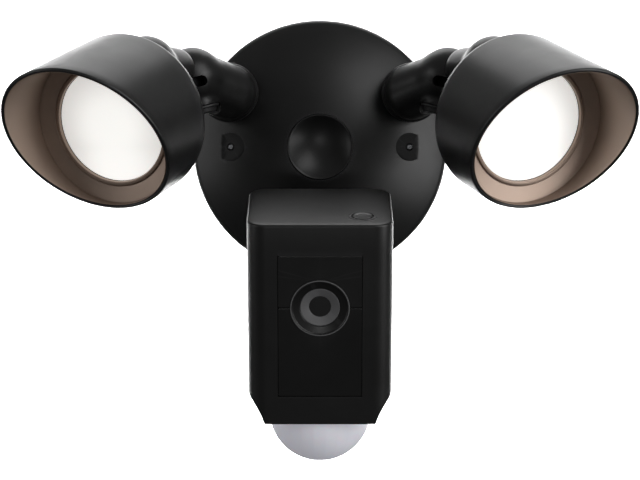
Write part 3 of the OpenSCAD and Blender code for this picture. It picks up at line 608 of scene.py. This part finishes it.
# the funnel ring, the thin lip round the diffuser, and the diffuser, whose face is a very shallow ball's
def makeFront(s, side, label):
    name, body = label.lower(), "light_" + label.lower()
    inner, outer, back = s["funnelInner"], s["funnelOuter"], s["back"]
    profile = [(inner, back, 0), (outer, back, 0), (outer, 1.9, 0), (36.4, 1.75, 0.5), (29.9, 0.15, 0.4),
               (inner, -0.4, 0.2)]
    # the funnel ring and the lip below take the warm grey that is painted lamp light on black plastic
    funnel = spun("funnelRing" + label, profile, "head", side, ring=True, around=200)
    fit(funnel, body, "bronze_paint", ["glare_ring_" + name])
    inner, outer, top = s["lipInner"], s["lipOuter"], s["lipTop"]
    profile = [(inner, -1, 0), (outer, -1, 0), (outer, top, 0.5), (inner, top, 0.5)]
    lip = spun("diffuserLip" + label, profile, "head", side, ring=True, around=200)
    fit(lip, body, "bronze_paint", ["lens_seal_" + name])
    r, sphere = np.linspace(0, s["glassFlat"], 20), s["glassSphere"]
    face = [(float(a), float(-sphere + math.sqrt((sphere + s["glassTop"]) ** 2 - a * a)), 0) for a in r]
    edge = [(s["glassRadius"], -1.2, 0.3), (s["glassRadius"], back, 0), (0, back, 0)]
    glass = spun("diffuserSkin" + label, face + edge, "head", side, around=200)
    fit(glass, body, "diffuser_white", ["diffuser_" + name])


for side, label in ((-1, "Left"), (1, "Right")):
    makeArm(armSettings, side, label)
    makeHood(headSettings, side, label)
    makeBack(headSettings, side, label)
    makeFront(frontSettings, side, label)
print("arms and lights made")


cameraSettings = {"width": 69, "depth": 55.4, "corner": 9, "straight": 88, "length": 101.5, "topRound": 1.1,
                  "footSide": [(88, 34.5), (91.1, 31.8), (94, 29.9), (96.8, 28.4), (101.5, 26.6)],
                  "bore": 25.35, "seatY": 27.5, "panelHalf": 20, "panelTop": 15.4, "panelSplit": 41.5,
                  "panelBottom": 86.8, "panelGap": 0.15, "notch": 14.2, "lensDown": 41.5,
                  "buttonAt": (20.1, 13.3), "buttonHole": 6.7}


# a box given by its two ends along each axis
def cutBox(name, x, y, z):
    low, high = np.array([x[0], y[0], z[0]], float), np.array([x[1], y[1], z[1]], float)
    square = np.array([[0, 0], [1, 0], [1, 1], [0, 1]], float)
    flat = low[:2] + square * (high - low)[:2]
    rows = np.stack([np.concatenate([flat, np.full((4, 1), k)], -1) for k in (low[2], high[2])])
    return skin(name, rows, "camera")


# rounded-rectangle rows: flat top, an arc down to the straight sides, then a foot whose half width
# follows a line through the points of footSide, and a round bore for the sensor's dome
def makeHousing(s):
    around = 480
    halfWide, halfDeep, r = s["width"] / 2, s["depth"] / 2, s["corner"]
    arc = np.linspace(0, math.pi / 2, 8)
    insets = np.concatenate([[8.0, 4.0], s["topRound"] * (1 - np.sin(arc)), np.zeros(6)])
    down = np.linspace(12, s["straight"], 6)
    depths = np.concatenate([[0.0, 0.0], s["topRound"] * (1 - np.cos(arc)), down])
    upper = np.stack([roundedBox(halfWide - i, halfDeep - i, r - min(i, 8.5), around) for i in insets])
    side = roundedBox(halfWide, halfDeep, r, around)
    footDepth = np.linspace(s["straight"], s["length"], 27)[1:]
    held = np.interp(footDepth, *zip(*s["footSide"]))[:, None]
    foot = np.stack([np.clip(side[None, :, 0], -held, held), side[None, :, 1] + 0 * held], -1)
    foot[-1] *= 0.992
    angle = np.arctan2(side[:, 1], side[:, 0])
    bore = s["bore"] * np.stack([np.cos(angle), np.sin(angle)], -1) + np.array([0, s["seatY"] - halfDeep])
    flat = np.concatenate([upper, foot, bore[None], bore[None]])
    height = -np.concatenate([depths, footDepth[:-1], [s["length"] - 0.15, s["length"], s["length"] - 3.5]])
    rows = np.concatenate([flat, np.broadcast_to(height[:, None, None], flat.shape[:2] + (1,))], -1)
    rows[..., 1] += s["depth"] / 2
    housing = skin("cameraHousingSkin", rows, "camera", crease=34)
    gap, hole = s["panelGap"], s["buttonHole"]
    half = s["panelHalf"] + gap
    cuts = [cutBox("panelCut", (-half, half), (-1, 2.5), (-s["panelBottom"] - gap, -s["panelTop"] + gap)),
            cutBox("backCut", (-32.1, 32.1), (53, 60), (-84, -4)),
            spun("buttonCut", [(0, -5.5, 0), (hole, -5.5, 0), (hole, 4, 0), (0, 4, 0)], "camera",
                 shift=(*s["buttonAt"], 0))]
    carve(housing, cuts, 40)
    fit(housing, "camera", "black_shell", ["camera_housing"])


# flat panels with softly broken edges and a round notch for the lens ring
def makePanels(s):
    split, r = s["panelSplit"], s["notch"]
    for name, top, bottom, node in (("windowPanelSkin", s["panelTop"], split - 0.12, "window_panel"),
                                    ("speakerPanelSkin", split + 0.12, s["panelBottom"], "speaker_panel")):
        outline = roundedBox(s["panelHalf"], (bottom - top) / 2, 0.8, 400)
        rows = slabRows(outline, -2.4, -0.2, 0.3)
        rows = np.stack([rows[..., 0], -rows[..., 2], rows[..., 1] - (top + bottom) / 2], -1)
        panel = skin(name, rows, "camera", crease=9)
        notch = spun("notchCut", [(0, -4, 0), (r, -4, 0), (r, 8, 0), (0, 8, 0)], "camera",
                     shift=(0, 0, -s["lensDown"]), lean=turn("x", -90))
        carve(panel, [notch], 9)
        fit(panel, "camera", "black_front", [node])


# profiles (radius, depth into the body, fillet), and the small round middle of the glass
lensSettings = {
    "ring": [(14.1, 3.9, 0), (14.1, -0.2, 0.3), (13.3, -0.2, 0.25), (12.9, 0.35, 0.3), (9.9, 1.1, 0.2),
             (9.45, 1.3, 0), (9.45, 3.9, 0)],
    # edge: the thin grey ring on the ring's front, a painted highlight
    "edge": [(14.05, -0.22, 0.1), (14.05, 0.2, 0), (13.5, 0.2, 0), (13.5, -0.22, 0.1)],
    "barrel": [(9.35, 1.2, 0.1), (9.35, 19.3, 0), (5.05, 19.3, 0), (5.05, 3.0, 0), (5.25, 2.4, 0.2),
               (9.1, 1.2, 0.1)],
    "glassRim": [(4.95, 3.3, 0.2), (4.98, 8.8, 0), (0, 8.8, 0)],
    "bumpReach": 1.9, "bumpRadius": 2.3, "bumpCentre": 5.0,
}


# ring, barrel and glass are turned about the lens axis, and a thin grey ring on the ring's front edge is a
# painted highlight; the glass's middle is part of a small ball
def makeLens(s, down):
    into, place = turn("x", -90), (0, 0, -down)
    ring = spun("lensRingSkin", s["ring"], "camera", ring=True, shift=place, lean=into, around=200, crease=30)
    fit(ring, "camera", "black_front", ["lens_ring"])
    edge = spun("lensRingPaintedHighlight", s["edge"], "camera", ring=True, shift=place, lean=into, around=200)
    fit(edge, "camera", "lens_grey")
    barrel = spun("lensBarrelSkin", s["barrel"], "camera", ring=True, shift=place, lean=into, crease=30)
    fit(barrel, "camera", "lens_grey", ["lens_barrel"])
    r = np.linspace(0, s["bumpReach"], 16)
    bump = [(float(a), float(s["bumpCentre"] - math.sqrt(s["bumpRadius"] ** 2 - a * a)), 0) for a in r]
    glass = spun("lensGlassSkin", bump + s["glassRim"], "camera", shift=place, lean=into, around=120)
    fit(glass, "camera", "lens_clear", ["lens_glass"])


domeSettings = {"radius": 25.2, "flats": 26, "flatness": 0.3, "centre": (0, 27.5, -105.6)}


# a half ball: radius times cos and sin of the angle down, with faint flats between ribs that fade to the pole
def makeDome(s):
    around = s["flats"] * 12
    turnAngle = np.linspace(0, 2 * math.pi, around, endpoint=False)
    step = 2 * math.pi / s["flats"]
    flat = 1 - s["flatness"] * (1 - math.cos(step / 2) / np.cos((turnAngle % step) - step / 2))
    down = np.linspace(0, math.pi / 2 - 0.02, 60)[:, None]
    fade = np.cos(down) ** 0.5
    radius = s["radius"] * np.cos(down) * (1 - fade * (1 - flat))
    height = -s["radius"] * np.sin(down) + 0 * turnAngle
    top = np.array([4.8, 3.0])[:, None]
    radius = np.concatenate([s["radius"] * flat + 0 * top, radius])
    height = np.concatenate([top + 0 * turnAngle, height])
    rows = np.stack([radius * np.cos(turnAngle), radius * np.sin(turnAngle), height], -1)
    rows = rows + np.array(s["centre"])
    pole = np.array(s["centre"]) - np.array([0, 0, s["radius"]])
    dome = skin("sensorDomeSkin", rows, "camera", tips=(None, pole), crease=60)
    fit(dome, "camera", "dome_smoke", ["sensor_dome"])


# profiles (radius, height, fillet) of the surround and of the button with its stem
buttonSettings = {
    "ring": [(6.6, -3.9, 0), (6.6, 0.12, 0.2), (5.3, 0.12, 0.2), (5.05, -0.6, 0.1), (5.05, -3.9, 0)],
    "button": [(0, 0.05, 0), (3.2, 0.12, 0.8), (4.3, 0.33, 0.3), (4.85, 0.2, 0.3), (4.85, -1.5, 0),
               (2, -1.5, 0), (2, -4.4, 0), (0, -4.4, 0)],
}


# the button is a shallow dish in a thin raised ring
def makeButton(s, place):
    ring = spun("buttonRing", s["ring"], "camera", ring=True, shift=(*place, 0))
    fit(ring, "camera", "dark_grip", ["button_surround"])
    button = spun("setupButtonSkin", s["button"], "camera", shift=(*place, 0), around=96)
    fit(button, "button", "black_shell", ["setup_button"])


makeHousing(cameraSettings)
makePanels(cameraSettings)
makeLens(lensSettings, cameraSettings["lensDown"])
makeDome(domeSettings)
makeButton(buttonSettings, cameraSettings["buttonAt"])
print("camera made")


# metres: where the floor starts and lies, where and how wide it bends up, and how high the wall goes
stageSettings = {"halfWide": 3.0, "start": 0.8, "floor": -0.42, "bendAt": 1.2, "bend": 0.6, "top": 3.0,
                 "paper": "#f4f4f4"}


# a white sweep behind the object: a floor, a quarter circle and a wall
def makeStage(s):
    x = np.array([-s["halfWide"], s["halfWide"]])
    bend = np.linspace(0, math.pi / 2, 16)
    y = np.concatenate([[s["start"]], s["bendAt"] + s["bend"] * np.sin(bend), [s["bendAt"] + s["bend"]]])
    z = np.concatenate([[s["floor"]], s["floor"] + s["bend"] * (1 - np.cos(bend)), [s["top"]]])
    points = np.array([[a, b, c] for b, c in zip(y, z) for a in x])
    k = np.arange(len(y) - 1)
    faces = np.stack([2 * k, 2 * k + 1, 2 * k + 3, 2 * k + 2], -1)
    mesh = bpy.data.meshes.new("sweep")
    mesh.from_pydata(points.tolist(), [], faces.tolist())
    mesh.polygons.foreach_set("use_smooth", np.ones(len(faces), bool))
    sweep = bpy.data.objects.new("sweep", mesh)
    scene.collection.objects.link(sweep)
    paper = bpy.data.materials.new("whitePaper")
    paper.use_nodes = True
    shader = paper.node_tree.nodes["Principled BSDF"]
    shader.inputs["Base Color"].default_value = hexColour(s["paper"])
    shader.inputs["Roughness"].default_value = 0.9
    mesh.materials.append(paper)


lightSettings = {
    # name: place, aim, size, watts, spread in degrees
    "backBox": ((0.0, 1.15, 0.85), (0, 0, 0), (2.6, 0.6), 1.5, 180),
    "topBox": ((0.0, 0.8, 1.15), (0, 0, 0), (1.3, 0.5), 5.6, 180),
    "keyBox": ((0.80, -1.02, 0.75), (0, 0, 0), (1.0, 1.0), 6.0, 180),
    "rightBox": ((1.22, -0.8, 0.0), (0, 0, -0.02), (0.9, 1.1), 10.0, 180),
    "leftBox": ((-1.3, -0.4, 0.1), (0, 0, -0.03), (0.8, 1.0), 3.0, 180),
    "glintBox": ((0.0, -1.35, -0.36), (0, 0, -0.08), (0.2, 0.2), 0.7, 180),
    "paperLight": ((0.0, 0.7, 1.6), (0, 1.75, 0.0), (2.4, 0.6), 60, 70),
}
roomSettings = {"below": 0.045, "level": 0.12, "above": 0.2}


# soft boxes, and a room that is dim below and brighter above
def makeLights(settings, room):
    for name, (place, aim, size, power, spread) in settings.items():
        lamp = bpy.data.lights.new(name, "AREA")
        lamp.shape, lamp.size, lamp.size_y, lamp.energy = "RECTANGLE", size[0], size[1], power
        lamp.spread = math.radians(spread)
        box = bpy.data.objects.new(name, lamp)
        box.location = place
        way = np.array(aim, float) - np.array(place, float)
        box.rotation_euler = (math.acos(-way[2] / np.linalg.norm(way)), 0, math.atan2(-way[0], way[1]))
        scene.collection.objects.link(box)
    world = bpy.data.worlds.new("room")
    world.use_nodes = True
    tree = world.node_tree
    tree.nodes.clear()
    way = addNode(tree, "ShaderNodeTexCoord")
    split = addNode(tree, "ShaderNodeSeparateXYZ", {}, {"Vector": (way, "Generated")})
    low = addNode(tree, "ShaderNodeMapRange",
                  {"From Min": -1.0, "From Max": 0.0, "To Min": room["below"], "To Max": room["level"]},
                  {"Value": (split, "Z")})
    high = addNode(tree, "ShaderNodeMapRange",
                   {"From Min": 0.0, "From Max": 1.0, "To Min": 0.0, "To Max": room["above"] - room["level"]},
                   {"Value": (split, "Z")})
    both = addNode(tree, "ShaderNodeMath", {"operation": "ADD"}, {0: (low, "Result"), 1: (high, "Result")})
    sky = addNode(tree, "ShaderNodeBackground", {"Color": (1, 1, 1, 1)}, {"Strength": (both, "Value")})
    addNode(tree, "ShaderNodeOutputWorld", {}, {"Surface": (sky, "Background")})
    scene.world = world
    scene.view_settings.view_transform = "Standard"


viewSettings = {"distance": 1.06, "lens": 114.47, "sensor": 36, "shiftDown": 0.1455}


def makeCamera(s):
    lens = bpy.data.cameras.new("viewCamera")
    lens.sensor_width, lens.lens, lens.shift_y = s["sensor"], s["lens"], -s["shiftDown"]
    viewer = bpy.data.objects.new("viewCamera", lens)
    viewer.location = (0, -s["distance"], 0)
    viewer.rotation_euler = (math.pi / 2, 0, 0)
    scene.collection.objects.link(viewer)
    scene.camera = viewer


makeStage(stageSettings)
makeLights(lightSettings, roomSettings)
makeCamera(viewSettings)
print("stage ready")
